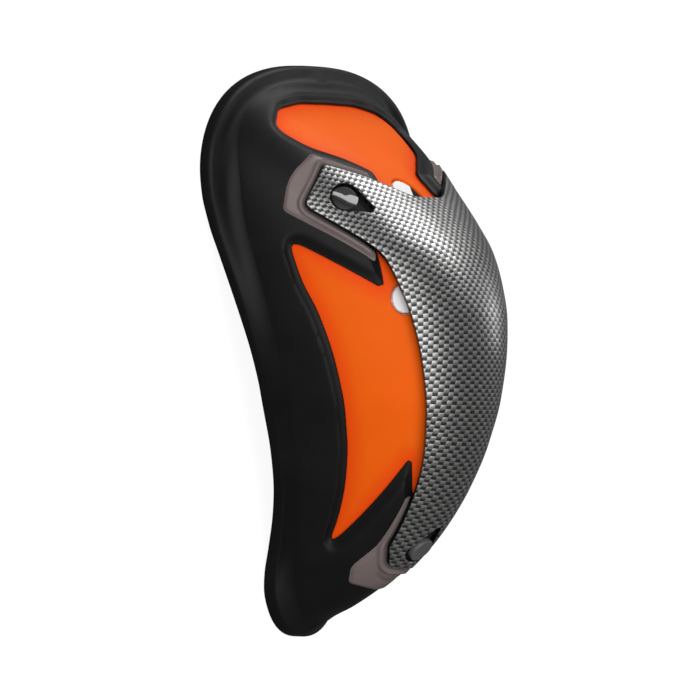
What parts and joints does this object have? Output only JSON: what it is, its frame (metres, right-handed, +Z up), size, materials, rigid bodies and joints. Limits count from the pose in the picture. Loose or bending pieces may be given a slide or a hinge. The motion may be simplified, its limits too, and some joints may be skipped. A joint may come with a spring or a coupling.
{
  "type": "athletic cup",
  "caption": "Hollow hard-shelled athletic cup with a soft moulded rim, vented core and a three-armed woven-carbon shield held by rivets in soft sockets.",
  "frame": {"origin": "on the floor, under the centre of the cup's bounding box", "axes": "+Z up, out of the front of the cup; +Y towards its wide waist end; +X to the right of a viewer who faces the front with the waist end up"},
  "size_m": [0.1118, 0.166, 0.0654],
  "materials": {
    "shell": "satin orange moulding",
    "rim": "satin black elastomer",
    "shield": "glossy plain-weave carbon in light and dark grey",
    "socket": "satin mauve-grey elastomer",
    "rivet": "satin dark grey moulding"
  },
  "bodies": {
    "root": {"core_shell": "shell", "rim_pad": "rim", "carbon_shield": "shield", "socket_left": "socket", "socket_right": "socket", "socket_tail": "socket", "rivet_left": "rivet", "rivet_right": "rivet", "rivet_tail": "rivet"}
  },
  "joints": []
}
